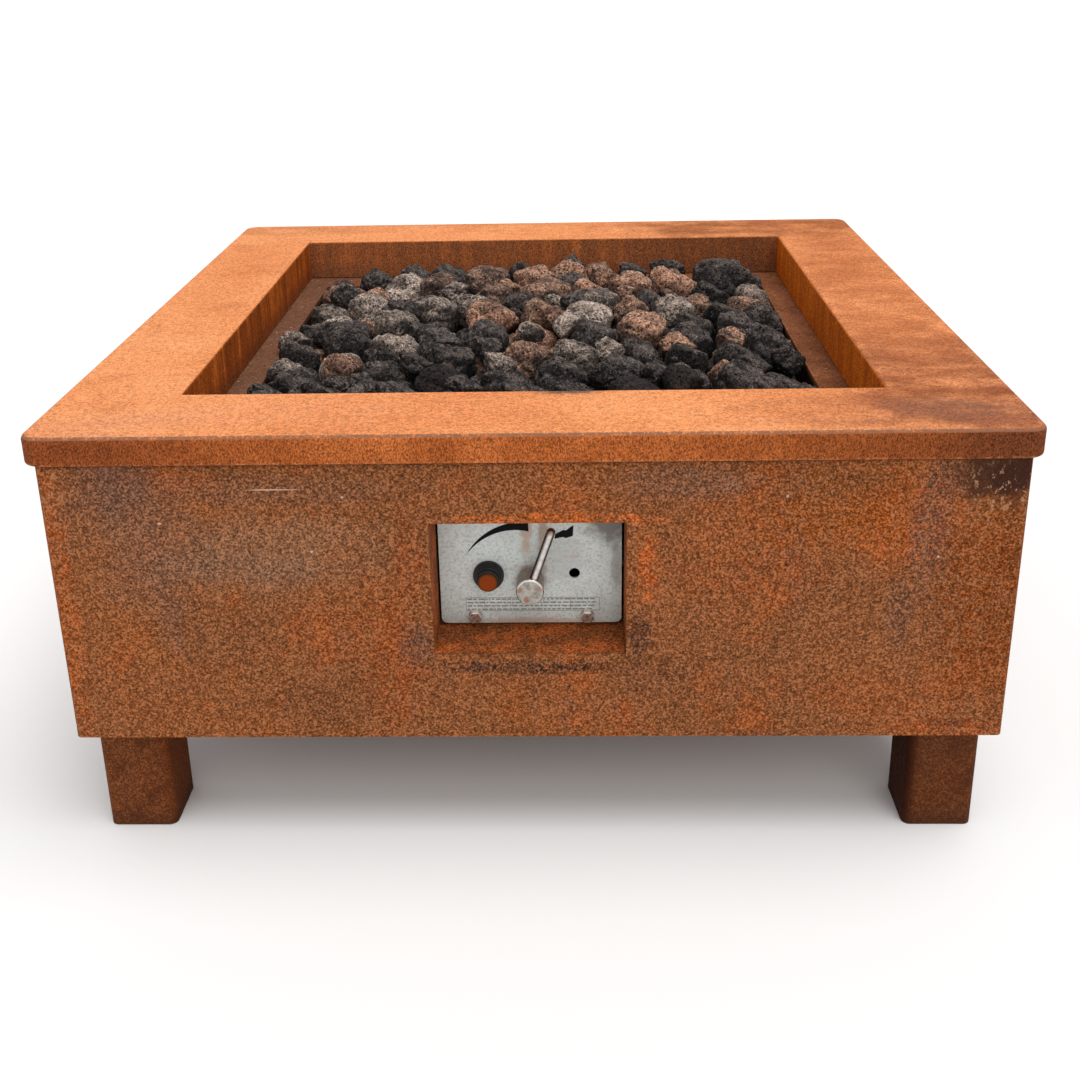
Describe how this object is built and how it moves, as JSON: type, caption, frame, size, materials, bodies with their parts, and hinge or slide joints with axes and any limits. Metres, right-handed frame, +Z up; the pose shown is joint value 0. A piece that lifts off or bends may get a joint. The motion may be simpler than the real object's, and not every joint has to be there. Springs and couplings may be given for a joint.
{
  "type": "gas fire pit",
  "caption": "Low square gas fire pit in weathering steel with a lift-off rim cover, lava stones in a burner tray, and a recessed lever and igniter.",
  "frame": {"origin": "centre of the footprint on the floor", "axes": "+Z up, the control window faces -Y, +X to the right seen from the front"},
  "size_m": [0.808, 0.808, 0.38],
  "materials": {
    "rim_corten": "rusted, matt",
    "body_corten": "rusted, matt",
    "leg_corten": "rusted, matt",
    "inner_steel": "rusted, matt",
    "galvanised": "weathered zinc",
    "zinc_plated": "worn zinc plate",
    "stainless": "heat tinted",
    "heat_stained_steel": "rust film over heat stains",
    "spring_steel": "bright wire",
    "brass": "dull",
    "copper": "dull copper",
    "black_plastic": "moulded",
    "orange_plastic": "worn moulded",
    "ceramic": "unglazed",
    "silicone": "smooth sleeve",
    "lava_black": "porous",
    "lava_grey": "porous",
    "lava_brown": "porous"
  },
  "bodies": {
    "root": {"base_plate": "inner_steel", "burner_bar": "stainless", "burner_brackets": "stainless", "burner_pan": "heat_stained_steel", "control_bracket": "inner_steel", "control_plate": "galvanised", "electrode_insulator": "ceramic", "electrode_wire": "stainless", "front_panel": "body_corten", "gas_feed_pipe": "copper", "gas_inlet_fitting": "brass", "gas_inlet_pipe": "copper", "grate_bars": "heat_stained_steel", "grate_frame": "heat_stained_steel", "igniter_collar": "black_plastic", "igniter_housing": "black_plastic", "igniter_nut": "black_plastic", "igniter_spring": "spring_steel", "ignition_lead": "silicone", "injector": "brass", "injector_holder": "brass", "lava_stones_black": "lava_black", "lava_stones_brown": "lava_brown", "lava_stones_grey": "lava_grey", "left_panel": "body_corten", "leg_bolts": "zinc_plated", "leg_foot_plates": "leg_corten", "leg_front_left": "leg_corten", "leg_front_right": "leg_corten", "leg_rear_left": "leg_corten", "leg_rear_right": "leg_corten", "leg_top_plates": "leg_corten", "magnet_unit": "brass", "mixer_tube": "stainless", "pan_support_rails": "inner_steel", "pipe_clips": "black_plastic", "pipe_nuts": "brass", "plate_bolts": "zinc_plated", "plate_nuts": "zinc_plated", "rear_panel": "body_corten", "recess_cheeks": "body_corten", "recess_roof": "body_corten", "recess_shelf": "body_corten", "right_panel": "body_corten", "thermocouple": "stainless", "thermocouple_lead": "copper", "valve_body": "brass", "valve_nut": "zinc_plated", "valve_spring": "spring_steel"},
    "rim_cover": {"rim_front": "rim_corten", "rim_rear": "rim_corten", "rim_left": "rim_corten", "rim_right": "rim_corten"},
    "valve_plunger": {"valve_push_pin": "stainless"},
    "control_lever": {"lever_hub": "zinc_plated", "lever_rod": "zinc_plated", "lever_grub_screw": "zinc_plated", "valve_spindle": "brass"},
    "igniter_button": {"igniter_plunger": "black_plastic", "igniter_cap": "orange_plastic"}
  },
  "joints": [
    {"name": "rim_lift", "type": "slide", "parent": "root", "child": "rim_cover", "axis": [0, 0, 1], "range_m": [0, 0.15]},
    {"name": "control_push", "type": "slide", "parent": "root", "child": "valve_plunger", "axis": [0, 1, 0], "range_m": [0, 0.003], "stiffness_N_per_m": 2000, "springref_m": -0.002, "deforming": ["valve_spring"]},
    {"name": "control_turn", "type": "hinge", "parent": "valve_plunger", "child": "control_lever", "pos_m": [-0.002, -0.35, 0.225], "axis": [0, -1, 0], "range_deg": [-21, 79]},
    {"name": "igniter_press", "type": "slide", "parent": "root", "child": "igniter_button", "axis": [0, 1, 0], "range_m": [0, 0.006], "stiffness_N_per_m": 1200, "springref_m": -0.002, "deforming": ["igniter_spring"]}
  ]
}
